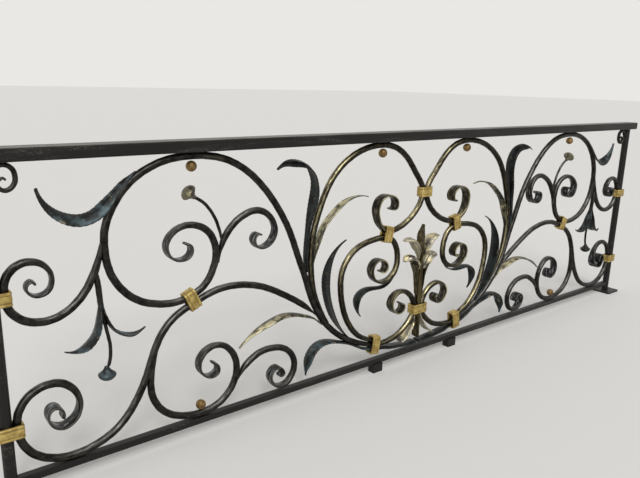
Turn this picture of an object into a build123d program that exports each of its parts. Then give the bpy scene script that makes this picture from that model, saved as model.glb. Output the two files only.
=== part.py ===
from build123d import *
import os
from math import pi, sin

# Overall sizes in mm. The origin is under the left post's base flange.
bay_length = 2956
post_diameter = 31
foot_height = 34
bottom_rail_size = 20
clear_height = 806
handrail_height = 33
handrail_depth = 60
handrail_overhang = 25

# Forged stock: the round bar, the flattened scroll end and the gap left for a weld or a collar
bar_size = 20
eye_width = 38
eye_thickness = 8
weld_gap = 0.3

# Base flanges and feet
flange_size = 100
flange_thickness = 8
flange_hole_spacing = 70
flange_hole_diameter = 11
foot_position = 210
foot_length = 45
foot_depth = 30

# Collars wrapped round the bars
collar_wall = 6
collar_height = 40
collar_bead = 3
post_collar_levels = (127, 480)

# Corner scrolls under the handrail and the riveted balls
corner_bar_size = 13
ball_diameter = 34
bud_width = 50
bud_height = 40

# The scroll drawing covers the clear opening of the bay that it was drawn for
drawn_length = 2956
drawn_height = 806
drawing_rise = 6

rail_top = foot_height + bottom_rail_size
handrail_bottom = rail_top + clear_height
middle_x = bay_length / 2
middle_plane = Plane.YZ.offset(middle_x)
stretch_x = bay_length / drawn_length
stretch_z = clear_height / drawn_height
corner_cut = 0.41


def drawn(x, z):
    """A point of the scroll drawing: x from the middle of the bay, z above the bottom rail."""
    return Vector(middle_x + x * stretch_x, 0, rail_top + (z + drawing_rise) * stretch_z)


def section_at(keys, distance):
    """Width across the panel and thickness in it, blended between (distance, width, thickness) keys."""
    if distance <= keys[0][0]:
        return keys[0][1:]
    for (d0, w0, t0), (d1, w1, t1) in zip(keys, keys[1:]):
        if distance <= d1:
            blend = sin((distance - d0) / (d1 - d0) * pi / 2) ** 2
            return w0 + (w1 - w0) * blend, t0 + (t1 - t0) * blend
    return keys[-1][1:]


def forged(points, keys, grow=0):
    """Loft eight-sided sections along a smooth line through the drawn points."""
    line = Edge.make_spline([drawn(x, z) for x, z in points])
    spans = [(Vector(b) - Vector(a)).length for a, b in zip(points, points[1:])]
    run = sum(spans)
    keys = [(d if d >= 0 else run + d + 1, w, t) for d, w, t in keys]
    starts = [sum(spans[:count]) for count in range(len(points))]
    middles = [(a + b) / 2 for a, b in zip(starts, starts[1:])]
    with BuildPart() as piece:
        for distance in sorted(starts + middles):
            place = min(distance / run, 1)
            width, thickness = section_at(keys, distance)
            across = width / 2 + grow
            along = thickness / 2 + grow
            origin = line.position_at(place, position_mode=PositionMode.PARAMETER)
            heading = line.tangent_at(place, position_mode=PositionMode.PARAMETER)
            with BuildSketch(Plane(origin, x_dir=(0, 1, 0), z_dir=heading)):
                with BuildLine():
                    Polyline(
                        (across, along * corner_cut),
                        (across * corner_cut, along),
                        (-across * corner_cut, along),
                        (-across, along * corner_cut),
                        (-across, -along * corner_cut),
                        (-across * corner_cut, -along),
                        (across * corner_cut, -along),
                        (across, -along * corner_cut),
                        close=True,
                    )
                make_face()
        loft()
    return piece


# Section keys, (distance along the line, width across the panel, thickness in it)
bar = (bar_size, bar_size)
eye = (eye_width, eye_thickness)
scarf = (bar_size, 4)

# The left half of the scrollwork: centre lines as drawn, and how each section changes along them
lower_scroll = [
    (-1343, 124), (-1338, 142), (-1347, 160), (-1364, 168), (-1381, 158), (-1386, 136), (-1372, 106),
    (-1343, 93), (-1312, 108), (-1294, 146), (-1306, 190), (-1340, 220), (-1380, 224), (-1422, 204),
    (-1446, 168), (-1452, 127), (-1445, 88), (-1424, 50), (-1386, 20), (-1340, 6), (-1295, 6),
    (-1245, 18), (-1199, 42), (-1149, 96), (-1110, 168), (-1088, 232), (-1057, 299), (-1004, 347),
    (-957, 364), (-899, 384), (-838, 391), (-764, 382), (-709, 364), (-653, 335), (-598, 302),
    (-542, 262), (-498, 222),
]
side_scroll = [
    (-1381, 494), (-1390, 506), (-1402, 498), (-1400, 478), (-1376, 464), (-1350, 476), (-1341, 506),
    (-1356, 540), (-1395, 555), (-1432, 540), (-1450, 508), (-1452, 477), (-1444, 443), (-1418, 412),
    (-1368, 396), (-1312, 408), (-1268, 442), (-1238, 488), (-1220, 540), (-1208, 590), (-1192, 636),
]
ring = [
    (-212, 47), (-259, 60), (-320, 84), (-376, 114), (-431, 157), (-476, 206), (-509, 260),
    (-531, 310), (-553, 373), (-576, 430), (-598, 488), (-626, 552), (-660, 610), (-709, 675),
    (-764, 728), (-838, 771), (-949, 789), (-1030, 780), (-1085, 759), (-1130, 729), (-1165, 690),
    (-1191, 645), (-1204, 600), (-1205, 552), (-1196, 500), (-1170, 449), (-1121, 403),
    (-1060, 380), (-1004, 376), (-957, 388), (-918, 412), (-893, 450), (-881, 490), (-884, 530),
    (-902, 568), (-935, 592), (-975, 599), (-1014, 586), (-1040, 552), (-1036, 518), (-1008, 495),
    (-976, 496), (-957, 514), (-960, 536), (-982, 543),
]
branch_scroll = [
    (-876, 470), (-866, 520), (-846, 562), (-816, 592), (-783, 610), (-744, 616), (-705, 603),
    (-679, 575), (-672, 540), (-684, 510), (-712, 490), (-740, 491), (-760, 508), (-762, 532),
    (-746, 546), (-726, 540),
]
floor_scroll = [
    (-1067, 262), (-1082, 215), (-1093, 171), (-1095, 120), (-1080, 76), (-1050, 40), (-1000, 14),
    (-940, 5), (-885, 15), (-842, 46), (-818, 90), (-815, 138), (-834, 180), (-868, 206),
    (-905, 208), (-936, 188), (-946, 158), (-932, 128), (-902, 116), (-882, 130), (-886, 152),
    (-904, 162),
]
small_scroll = [
    (-812, 78), (-800, 96), (-788, 112), (-765, 130), (-730, 148), (-688, 152), (-640, 142), (-604, 112),
    (-590, 75), (-600, 36), (-630, 10), (-664, 12), (-688, 34), (-692, 64), (-672, 84),
    (-646, 76), (-640, 54), (-656, 46),
]
upper_circle = [
    (-447, 187), (-485, 249), (-512, 304), (-526, 360), (-531, 416), (-530, 471), (-521, 524),
    (-502, 585), (-477, 645), (-441, 700), (-392, 742), (-338, 769), (-280, 785), (-222, 789),
    (-150, 772), (-92, 728), (-48, 674), (-18, 634), (-10.5, 608), (-16, 578), (-48, 532),
    (-92, 500), (-136, 482), (-187, 480), (-220, 500), (-242, 536), (-246, 574), (-228, 602),
    (-196, 612), (-164, 604), (-148, 582), (-155, 560), (-178, 560),
]
lower_circle = [
    (-212, 68), (-253, 80), (-303, 104), (-344, 144), (-376, 199), (-393, 256), (-400, 316),
    (-392, 365), (-368, 404), (-330, 434), (-282, 450), (-234, 457), (-187, 456), (-152, 438),
    (-131, 402), (-125, 360), (-136, 322), (-162, 298), (-198, 290), (-232, 300), (-254, 324),
    (-257, 350), (-242, 372), (-216, 378), (-192, 366), (-184, 344), (-196, 328), (-214, 334),
]
centre_scroll = [
    (-212, 47), (-175, 47), (-131, 52), (-92, 66), (-54, 94), (-29, 124), (-20.5, 152),
    (-26, 182), (-48, 216), (-80, 236), (-114, 238), (-142, 220), (-152, 192), (-140, 166),
    (-112, 152), (-90, 160), (-86, 182), (-104, 190),
]
corner_scroll = [
    (-1455.5, 766), (-1449, 784), (-1430, 792.5), (-1411, 785), (-1403, 763), (-1411, 740),
    (-1429, 732), (-1441, 742), (-1440, 755), (-1430, 762), (-1424, 755),
]

# Leaves: blades that stand across the panel, thin in its plane
upper_leaf = [
    (-1122, 736), (-1166, 692), (-1204, 662), (-1250, 643), (-1300, 650), (-1340, 680), (-1357, 729),
]
tall_leaf = [
    (-545, 385), (-550, 438), (-547, 499), (-538, 560), (-520, 630), (-520, 690), (-550, 735),
    (-600, 749), (-640, 746), (-666, 731),
]
gold_leaf = [
    (-524, 425), (-508, 490), (-490, 536), (-451, 577), (-400, 614), (-350, 629), (-291, 624),
]
dark_leaf = [
    (-350, 106), (-395, 156), (-426, 205), (-448, 260), (-460, 320), (-455, 380), (-428, 435),
    (-376, 473),
]
sweeping_leaf = [
    (-476, 186), (-518, 220), (-559, 238), (-631, 254), (-687, 243), (-737, 225), (-776, 203),
    (-804, 181),
]
base_leaf = [
    (-213, 26), (-255, 37), (-300, 58), (-348, 84), (-409, 108), (-459, 118), (-502, 104),
    (-524, 66), (-534, 16),
]
circle_leaf = [
    (-140, 305), (-168, 281), (-203, 272), (-253, 276), (-292, 272), (-318, 250), (-320, 215),
    (-296, 176),
]
sprig_stem = [(-1234, 486), (-1229, 440), (-1224, 388)]
sprig_left = [(-1226, 396), (-1236, 350), (-1254, 314), (-1284, 296), (-1323, 303)]
sprig_right = [(-1220, 400), (-1206, 358), (-1180, 324), (-1148, 309), (-1104, 324)]
sprig_drop = [(-1222, 392), (-1211, 340), (-1203, 299), (-1203, 265), (-1209, 233.6)]
bud_stem = [(-862, 540), (-875, 590), (-896, 630), (-922, 658), (-945, 672)]
base_strand = [(-211, 26), (-165, 25), (-110, 19), (-60, 14), (-8, 12)]
tail_leaf = [(-19, 124), (-24, 98), (-42, 66), (-70, 40), (-92, 34)]
flower_leaf = [(-10, 300), (-18, 330), (-45, 352), (-80, 366), (-108, 362)]
side_petal = [(-9, 345), (-18, 385), (-36, 418), (-64, 438), (-98, 440)]


def pair(piece):
    """A piece and its mirror image on the other half of the bay, in one node."""
    with BuildPart() as both:
        add(piece.part)
        mirror(about=middle_plane)
    return both


def fitted(piece, *neighbours):
    """A piece trimmed to the room that its neighbours need."""
    with BuildPart() as trimmed:
        add(piece.part)
        for neighbour in neighbours:
            add(neighbour.part, mode=Mode.SUBTRACT)
    with BuildPart() as whole:
        add(trimmed.part.solids().sort_by(SortBy.VOLUME)[-1])
    return whole


def collar(centre, angle, across, *bars):
    """A beaded band wrapped round bars that lie side by side."""
    along = Vector(1, 0, 0).rotate(Axis.Y, -angle)
    plane = Plane(centre, x_dir=along.rotate(Axis.Y, -90), z_dir=along)
    inside = (across, bar_size + 2 * weld_gap)
    outside = [side + 2 * collar_wall for side in inside]
    beaded = [side + collar_bead for side in outside]
    bead_height = collar_bead * 2
    with BuildPart() as band:
        with BuildSketch(plane):
            RectangleRounded(*outside, collar_wall)
        extrude(amount=collar_height / 2, both=True)
        for offset_along in (-1, 1):
            edge_plane = plane.offset(offset_along * (collar_height - bead_height) / 2)
            with BuildSketch(edge_plane):
                RectangleRounded(*beaded, collar_wall)
            extrude(amount=bead_height / 2, both=True)
        with BuildSketch(plane):
            Rectangle(*inside)
        extrude(amount=collar_height, both=True, mode=Mode.SUBTRACT)
        for neighbour in bars:
            add(neighbour.part, mode=Mode.SUBTRACT)
    return band


pieces = {}

# Posts on their base flanges, the rails and the feet
for side, post_x in (("left", 0), ("right", bay_length)):
    with BuildPart() as post:
        with BuildSketch(Plane((post_x, 0, 0))):
            RectangleRounded(flange_size, flange_size, flange_thickness)
            with GridLocations(flange_hole_spacing, flange_hole_spacing, 2, 2):
                Circle(flange_hole_diameter / 2, mode=Mode.SUBTRACT)
        extrude(amount=flange_thickness)
        with BuildSketch(Plane((post_x, 0, 0))):
            Circle(post_diameter / 2)
        extrude(amount=handrail_bottom)
    pieces[side + "_post"] = post

rail_planes = [Plane((x, 0, 0), x_dir=(0, 1, 0), z_dir=(1, 0, 0)) for x in (0, bay_length)]
with BuildPart() as bottom_rail:
    with BuildSketch(rail_planes[0]):
        with Locations((0, foot_height + bottom_rail_size / 2)):
            Rectangle(bottom_rail_size, bottom_rail_size)
    extrude(amount=bay_length)
    with Locations((0, 0, rail_top), (bay_length, 0, rail_top)):
        Cylinder(post_diameter / 2 + weld_gap, bottom_rail_size * 4, mode=Mode.SUBTRACT)
pieces["bottom_rail"] = bottom_rail

handrail_end = post_diameter / 2 + handrail_overhang
with BuildPart() as handrail:
    with BuildSketch(rail_planes[0].offset(-handrail_end)) as profile:
        with Locations((0, handrail_bottom + handrail_height / 2)):
            Rectangle(handrail_depth, handrail_height)
        fillet(profile.vertices().group_by(Axis.Z)[-1], handrail_height / 6)
    extrude(amount=bay_length + 2 * handrail_end)
pieces["handrail"] = handrail

with BuildPart() as feet:
    for foot_x in (middle_x - foot_position, middle_x + foot_position):
        with BuildSketch(Plane((foot_x, 0, 0))):
            Rectangle(foot_length, foot_depth)
        extrude(amount=foot_height)
pieces["feet"] = feet

# Main scroll bars, each with the room it needs among its neighbours
ring_keys = [(0, *bar), (-320, *bar), (-90, *eye), (-1, *eye)]
lower_keys = [(0, *eye), (90, *eye), (320, *bar), (-110, *bar), (-1, *scarf)]
side_keys = [(0, *eye), (70, *eye), (260, *bar), (-160, *bar), (-1, *scarf)]
branch_keys = [(0, *scarf), (90, *bar), (-260, *bar), (-90, *eye), (-1, *eye)]
floor_keys = [(0, *scarf), (140, *bar), (-300, *bar), (-90, *eye), (-1, *eye)]
small_keys = [(0, *scarf), (60, *bar), (-260, *bar), (-80, *eye), (-1, *eye)]
upper_keys = [(0, *scarf), (70, bar_size, 8), (180, *bar), (-330, *bar), (-150, *eye), (-1, *eye)]
circle_keys = [(0, *bar), (-330, *bar), (-150, *eye), (-1, *eye)]
centre_keys = [(0, *bar), (-260, *bar), (-110, *eye), (-1, *eye)]

left = {}
left["ring"] = forged(ring, ring_keys)
ring_room = forged(ring, ring_keys, weld_gap)
left["lower_scroll"] = fitted(forged(lower_scroll, lower_keys), ring_room)
lower_room = forged(lower_scroll, lower_keys, weld_gap)
left["side_scroll"] = fitted(forged(side_scroll, side_keys), ring_room)
left["branch_scroll"] = fitted(forged(branch_scroll, branch_keys), ring_room)
left["floor_scroll"] = fitted(forged(floor_scroll, floor_keys), lower_room)
floor_room = forged(floor_scroll, floor_keys, weld_gap)
left["small_scroll"] = fitted(forged(small_scroll, small_keys), floor_room)
left["upper_circle"] = fitted(forged(upper_circle, upper_keys), ring_room)
upper_room = forged(upper_circle, upper_keys, weld_gap)
left["lower_circle"] = fitted(forged(lower_circle, circle_keys), ring_room, upper_room)
circle_room = forged(lower_circle, circle_keys, weld_gap)
left["centre_scroll"] = fitted(forged(centre_scroll, centre_keys), ring_room)
branch_room = forged(branch_scroll, branch_keys, weld_gap)
centre_room = forged(centre_scroll, centre_keys, weld_gap)
with BuildPart() as post_room:
    Cylinder(post_diameter / 2 + weld_gap, handrail_bottom * 2)
with BuildPart() as upper_room_right:
    mirror(upper_room.part, about=middle_plane)
with BuildPart() as centre_room_right:
    mirror(centre_room.part, about=middle_plane)

# Leaves, sprigs, buds and flower, mirrored about the middle
leaf_keys = [(0, 14, 4), (120, 40, 6), (-140, 40, 6), (-1, 10, 3)]
long_leaf_keys = [(0, 16, 5), (160, 44, 6), (-160, 44, 6), (-1, 10, 3)]
wide_leaf_keys = [(0, 18, 4), (140, 52, 7), (-120, 46, 7), (-1, 10, 4)]
strand_keys = [(0, *bar), (90, 18, 14), (-1, 8, 4)]
base_keys = [(0, 18, 16), (130, 20, 8), (260, 44, 7), (-1, 12, 4)]
stem_keys = [(0, 8, 6), (40, 18, 16), (-1, 18, 16)]
corner_keys = [(0, 16, corner_bar_size), (-70, 16, corner_bar_size), (-1, 16, 7)]
twig_keys = [(0, 12, 6), (40, 11, 11), (-1, 11, 11)]
small_leaf_keys = [(0, 10, 4), (60, 32, 5), (-50, 30, 5), (-1, 8, 3)]

details = {}
details["upper_leaves"] = fitted(forged(upper_leaf, wide_leaf_keys), ring_room)
details["tall_leaves"] = fitted(forged(tall_leaf, long_leaf_keys), ring_room, upper_room)
details["gold_leaves"] = fitted(forged(gold_leaf, leaf_keys), upper_room)
details["dark_leaves"] = fitted(forged(dark_leaf, long_leaf_keys), ring_room, circle_room)
details["sweeping_leaves"] = fitted(forged(sweeping_leaf, leaf_keys), ring_room, lower_room)
details["base_leaves"] = fitted(forged(base_leaf, base_keys), ring_room)
details["circle_leaves"] = fitted(forged(circle_leaf, leaf_keys), circle_room)

middle_ring_centre = drawn(-963, 376)
middle_circle_centre = drawn(-187, 468)
lower_bundle_centre = drawn(-226, 50)
details["ring_collars"] = collar(middle_ring_centre, 25, 2 * bar_size + 1, ring_room, lower_room)
details["circle_collars"] = collar(middle_circle_centre, -12, 2 * bar_size + 1, upper_room, circle_room)
base_room = forged(base_leaf, base_keys, weld_gap)
strand_room = forged(base_strand, strand_keys, weld_gap)
bundle_rooms = (ring_room, circle_room, base_room, strand_room)
details["bundle_collars"] = collar(lower_bundle_centre, 0, 3 * bar_size + 1, *bundle_rooms)

details["corner_scrolls"] = forged(corner_scroll, corner_keys)

# Hanging sprig between the ring and the side scroll
side_room = forged(side_scroll, side_keys, weld_gap)
left_blade = forged(sprig_left, small_leaf_keys)
right_blade = fitted(forged(sprig_right, small_leaf_keys), left_blade)
with BuildPart() as sprig:
    add(fitted(forged(sprig_stem, stem_keys), ring_room, side_room).part)
    add(left_blade.part)
    add(right_blade.part)
    add(forged(sprig_drop, twig_keys).part)
details["sprigs"] = sprig


def bud(centre, angle, width, height):
    """A mushroom-shaped bud head, its crown towards the angle in the panel."""
    radius = width / 2
    axis_plane = Plane(centre, x_dir=Vector(0, 1, 0), z_dir=Vector(1, 0, 0).rotate(Axis.Y, -angle))
    with BuildPart() as head:
        with BuildSketch(Plane(centre, x_dir=axis_plane.x_dir, z_dir=axis_plane.y_dir * -1)):
            with BuildLine():
                flank = Spline(
                    (radius / 3, -height / 2),
                    (radius * 0.85, -height * 0.22),
                    (radius, height * 0.08),
                    (radius * 0.7, height * 0.4),
                    (radius / 4, height / 2),
                )
                Polyline(flank @ 1, (0, height / 2), (0, -height / 2), flank @ 0)
            make_face()
        revolve(axis=Axis(centre, axis_plane.z_dir))
    return head


with BuildPart() as sprig_buds:
    add(bud(drawn(-1218, 213), -90, bud_width, bud_height).part)
details["sprig_buds"] = sprig_buds

bud_room = bud(drawn(-961, 685), 140, bud_width + 2 * weld_gap, bud_height + 2 * weld_gap)
with BuildPart() as ring_buds:
    add(fitted(forged(bud_stem, twig_keys), ring_room, branch_room, bud_room).part)
    add(bud(drawn(-961, 685), 140, bud_width, bud_height).part)
details["ring_buds"] = ring_buds

# Riveted balls inside the tops of the big circles and on the floor scrolls
ball_drop = (bar_size + ball_diameter) / 2 + weld_gap
ball_places = [drawn(-949, 789) - (0, 0, ball_drop), drawn(-222, 789) - (0, 0, ball_drop)]
ball_places.append(drawn(-940, 5.5) + (0, 0, ball_drop))
with BuildPart() as balls:
    with Locations(*ball_places):
        Sphere(ball_diameter / 2)
details["balls"] = balls

# Collars that hold the scrolls to the posts
post_across = post_diameter + bar_size + 2 * weld_gap
with BuildPart() as post_collars:
    for level in post_collar_levels:
        centre = Vector(post_across / 2 - post_diameter / 2, 0, rail_top + level)
        add(collar(centre, 90, post_across, post_room, lower_room, side_room).part)
details["post_collars"] = post_collars

# Middle of the bay: two collars, the stem and its flower
upper_collar = collar(drawn(0, 608), 90, 2 * bar_size + 1, upper_room, upper_room_right)
lower_collar = collar(drawn(0, 150), 90, 3 * bar_size + 1, centre_room, centre_room_right)
pieces["middle_upper_collar"] = upper_collar
pieces["middle_lower_collar"] = lower_collar
with BuildPart() as stem:
    with BuildSketch(Plane(drawn(0, 126))):
        RegularPolygon(bar_size / 2 - weld_gap, 8)
    extrude(amount=235)
pieces["middle_stem"] = stem

petal_keys = [(0, 8, 4), (60, 40, 8), (-30, 34, 7), (-1, 14, 4)]
details["flower_leaves"] = fitted(forged(flower_leaf, petal_keys), stem)
details["flower_petals"] = fitted(forged(side_petal, petal_keys), stem)
tail_keys = [(0, 12, 6), (50, 34, 9), (-1, 40, 5)]
details["tail_leaves"] = fitted(forged(tail_leaf, tail_keys), centre_room)
details["base_strands"] = forged(base_strand, strand_keys)
for name, piece in details.items():
    pieces[name] = pair(piece)

for name, piece in left.items():
    pieces["left_" + name] = piece
    with BuildPart() as mirrored:
        mirror(piece.part, about=middle_plane)
    pieces["right_" + name] = mirrored

os.makedirs("parts", exist_ok=True)
for name, piece in pieces.items():
    piece.part.label = name
    export_step(piece.part, f"parts/{name}.step")
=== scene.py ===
from math import cos, pi, radians, sin

import bpy
import numpy as np
from mathutils import Matrix, Vector


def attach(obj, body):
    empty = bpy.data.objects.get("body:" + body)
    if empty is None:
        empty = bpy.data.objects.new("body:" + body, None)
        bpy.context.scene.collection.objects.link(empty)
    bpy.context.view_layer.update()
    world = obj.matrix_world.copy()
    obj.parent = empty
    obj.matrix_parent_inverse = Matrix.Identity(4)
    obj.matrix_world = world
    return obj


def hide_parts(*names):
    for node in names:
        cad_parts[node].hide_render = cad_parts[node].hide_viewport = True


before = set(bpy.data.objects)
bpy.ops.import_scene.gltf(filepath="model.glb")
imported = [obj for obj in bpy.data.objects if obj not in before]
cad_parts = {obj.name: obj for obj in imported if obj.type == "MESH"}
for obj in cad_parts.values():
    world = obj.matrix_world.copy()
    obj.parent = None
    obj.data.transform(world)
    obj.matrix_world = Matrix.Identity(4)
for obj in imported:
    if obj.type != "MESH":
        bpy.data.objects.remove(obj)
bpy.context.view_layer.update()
print("frame loaded")

# Sizes in millimetres. The scroll drawing has x from the middle of the bay and z above its foot,
# which lies a little above the bottom rail
bay = {"middle": 1478, "drawingFoot": 60, "weldGap": 0.3}
bar = {"size": 22, "pressed": 17, "scarf": 4, "scarfWidth": 12, "twig": 10.5, "eyeThickness": 8}
eyes = {"broad": 45, "wide": 41, "common": 37, "slim": 30}


# The photograph's viewing angle
viewpoint = {
    "place": (-0.27476, -1.58063, 1.05558),
    "turn": 0.673,  # to the right of the panel's normal, radians
    "dip": 0.2446,  # below the horizon
    "roll": 0.0258,
    "lens": 35.53,
    "filmWidth": 36,
}


def makeCamera():
    turn, dip, roll = viewpoint["turn"], viewpoint["dip"], viewpoint["roll"]
    ahead = Vector((sin(turn) * cos(dip), cos(turn) * cos(dip), -sin(dip)))
    level = Vector((cos(turn), -sin(turn), 0))
    down = ahead.cross(level)
    right = level * cos(roll) - down * sin(roll)
    up = -(down * cos(roll) + level * sin(roll))
    data = bpy.data.cameras.new("camera")
    data.lens = viewpoint["lens"]
    data.sensor_width = viewpoint["filmWidth"]
    camera = bpy.data.objects.new("camera", data)
    bpy.context.scene.collection.objects.link(camera)
    turned = Matrix((right, up, -ahead)).transposed().to_4x4()
    camera.matrix_world = Matrix.Translation(viewpoint["place"]) @ turned
    bpy.context.scene.camera = camera


makeCamera()
print("camera set")


# Colours and nodes
def linear(hexColour):
    # sRGB hex to the linear value that Blender mixes in
    parts = [int(hexColour[i : i + 2], 16) / 255 for i in (1, 3, 5)]
    parts = [c / 12.92 if c <= 0.04045 else ((c + 0.055) / 1.055) ** 2.4 for c in parts]
    return (*parts, 1)


def addNode(tree, kind, settings=None, links=None):
    # adds one node; a setting is an input's name or number, or else the node's own property, and
    # a link comes from a socket, or from the first output of a node
    node = tree.nodes.new("ShaderNode" + kind)
    for key, value in (settings or {}).items():
        if isinstance(key, int) or key in node.inputs:
            node.inputs[key].default_value = value
        else:
            setattr(node, key, value)
    for key, source in (links or {}).items():
        socket = source.outputs[0] if isinstance(source, bpy.types.Node) else source
        tree.links.new(socket, node.inputs[key])
    return node


def newFinish(name, shader):
    # a material with one shader, whose inputs start at the given values
    material = bpy.data.materials.new(name)
    material.use_nodes = True
    tree = material.node_tree
    tree.nodes.clear()
    surface = addNode(tree, "BsdfPrincipled", shader)
    addNode(tree, "OutputMaterial", links={"Surface": surface})
    return material, tree, surface


def blotches(tree, coords, millimetres, detail=3, roughness=0.5, stretch=(1, 1, 1)):
    # noise whose features are about the given size, 0 to 1 about 0.5
    placed = addNode(tree, "Mapping", {"Scale": stretch}, {"Vector": coords})
    look = {"Scale": 1000 / millimetres / 2, "Detail": detail, "Roughness": roughness}
    return addNode(tree, "TexNoise", look, {"Vector": placed})


def masked(tree, terms):
    # the product of the terms, each of them a mask, or else a pattern with the value at which it
    # is hidden and the value at which it is fully shown, smooth between
    product = None
    for term in terms:
        mask = term
        if isinstance(term, tuple):
            pattern, hidden, shown = term
            fade = {"interpolation_type": "SMOOTHSTEP", "From Min": hidden, "From Max": shown}
            mask = addNode(tree, "MapRange", fade, {"Value": pattern})
        if product is not None:
            mask = addNode(tree, "Math", {"operation": "MULTIPLY"}, {0: product, 1: mask})
        product = mask
    return product


def paintedLightFacing(tree, side):
    # 1 where the surface faces the given side, a unit vector, fading to 0 at 52 degrees from it;
    # it places the painted highlights and reflections on the side that faces the light
    facing = addNode(tree, "TexCoord").outputs["Normal"]
    towards = addNode(tree, "VectorMath", {"operation": "DOT_PRODUCT", 1: side}, {0: facing})
    return masked(tree, [(towards.outputs["Value"], 0.62, 1.0)])


def finishSurface(tree, surface, base, layers, rough, dents):
    # a base colour under layers, each a colour and the terms of its mask; a roughness spread over
    # a pattern between two values; and dents one over another, each a height, a strength and a
    # depth in millimetres
    under = {6: linear(base)}
    over = {}
    for colour, *terms in layers:
        look = {"data_type": "RGBA", 7: linear(colour), **under}
        mix = addNode(tree, "Mix", look, {0: masked(tree, terms), **over})
        under = {}
        over = {6: mix.outputs[2]}
    tree.links.new(over[6], surface.inputs["Base Color"])
    pattern, low, high = rough
    spread = {"From Min": 0.3, "From Max": 0.7, "To Min": low, "To Max": high}
    roughness = addNode(tree, "MapRange", spread, {"Value": pattern})
    tree.links.new(roughness.outputs[0], surface.inputs["Roughness"])
    normal = {}
    for height, strength, depth in dents:
        look = {"Strength": strength, "Distance": depth / 1000}
        normal = {"Normal": addNode(tree, "Bump", look, {"Height": height, **normal})}
    tree.links.new(normal["Normal"].outputs[0], surface.inputs["Normal"])


# Finishes
# The uv map alongBar has metres along a piece and round it. The finest patterns, of 1.6 to 3 mm,
# are drawn coarser than real brush scratches, hammer marks and pits, which would not show
def hammeredIron(name, finish):
    # forged bar, blackened with brown wax and dry-brushed with gold along the high marks:
    # near-black with long soft streaks of gold, duller where the wax lies thick, and with a
    # painted highlight in streaks along the side that faces the light; a flattened eye is dark,
    # with bare steel in its scratches and a painted highlight on its edges
    material, tree, surface = newFinish(name, {"Metallic": 1.0})
    along = addNode(tree, "UVMap", {"uv_map": "alongBar"})
    place = addNode(tree, "TexCoord").outputs["Object"]
    streaks = blotches(tree, along, 5, roughness=0.55, stretch=(0.08, 1, 1))
    scratches = blotches(tree, along, 1.6, roughness=0.6, stretch=(0.12, 1, 1))
    patches = blotches(tree, place, 70, detail=2)
    wax = blotches(tree, place, 9, detail=4, roughness=0.65)
    flats = addNode(tree, "Attribute", {"attribute_name": "flatFace"}).outputs["Fac"]
    edges = addNode(tree, "Attribute", {"attribute_name": "flatEdge"}).outputs["Fac"]
    roundness = addNode(tree, "Math", {"operation": "SUBTRACT", 0: 1}, {1: flats})
    # painted highlight: on a round bar the side that faces the light, on a flat eye its edges
    roundHighlight = masked(tree, [paintedLightFacing(tree, finish["paintedLightSide"]), roundness])
    flatEdgeHighlight = addNode(tree, "Math", {"operation": "MULTIPLY", 1: finish["edgeShare"]}, {0: edges})
    paintedHighlight = addNode(tree, "Math", {"operation": "MAXIMUM"}, {0: roundHighlight, 1: flatEdgeHighlight})
    streaked = addNode(tree, "Math", {"operation": "ADD"}, {0: streaks, 1: scratches})
    rub, patch, scratch = finish["rubFrom"], finish["patchFrom"], finish["scratchFrom"]
    layers = [
        (finish["wax"], (wax, 0.35, 0.7)),
        (finish["gold"], (streaks, rub, rub + finish["rubFade"]), (patches, patch, patch + 0.3)),
        (finish["bare"], (scratches, scratch, scratch + 0.12)),
        (finish["steel"], flats, (scratches, 0.5, 0.68)),
        (finish["sheen"], paintedHighlight, (streaked, 0.82, 1.2)),
    ]
    dents = [(wax, 0.5, 1.2), (streaks, 0.6, 0.6), (scratches, 0.45, 0.25)]
    finishSurface(tree, surface, finish["iron"], layers, (wax, *finish["roughness"]), dents)
    return material


def mottledLeaf(name, finish):
    # hammered leaf under a patina in clouds, with gold left on the crests of the marks, dark iron
    # elsewhere and, where the finish has a sheen, a painted highlight on the side that faces the light
    material, tree, surface = newFinish(name, {"Metallic": 0.8})
    along = addNode(tree, "UVMap", {"uv_map": "alongBar"})
    place = addNode(tree, "TexCoord").outputs["Object"]
    clouds = blotches(tree, place, 18, detail=4, roughness=0.6)
    marks = blotches(tree, along, 7, detail=4, roughness=0.6, stretch=(0.5, 1, 1))
    fine = blotches(tree, along, 1.8, roughness=0.6, stretch=(0.4, 1, 1))
    cloud, mark = finish["patinaFrom"], finish["goldFrom"]
    layers = [
        (finish["patina"], (clouds, cloud, cloud + 0.2)),
        (finish["gold"], (marks, mark, mark + 0.14)),
    ]
    # the sheen is a painted highlight on the side that faces the light
    if "sheen" in finish:
        side = paintedLightFacing(tree, finish["paintedLightSide"])
        layers.append((finish["sheen"], side, (marks, 0.35, 0.6)))
    dents = [(marks, 0.7, 1.0), (fine, 0.4, 0.3)]
    finishSurface(tree, surface, finish["iron"], layers, (clouds, 0.3, 0.55), dents)
    return material


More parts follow.
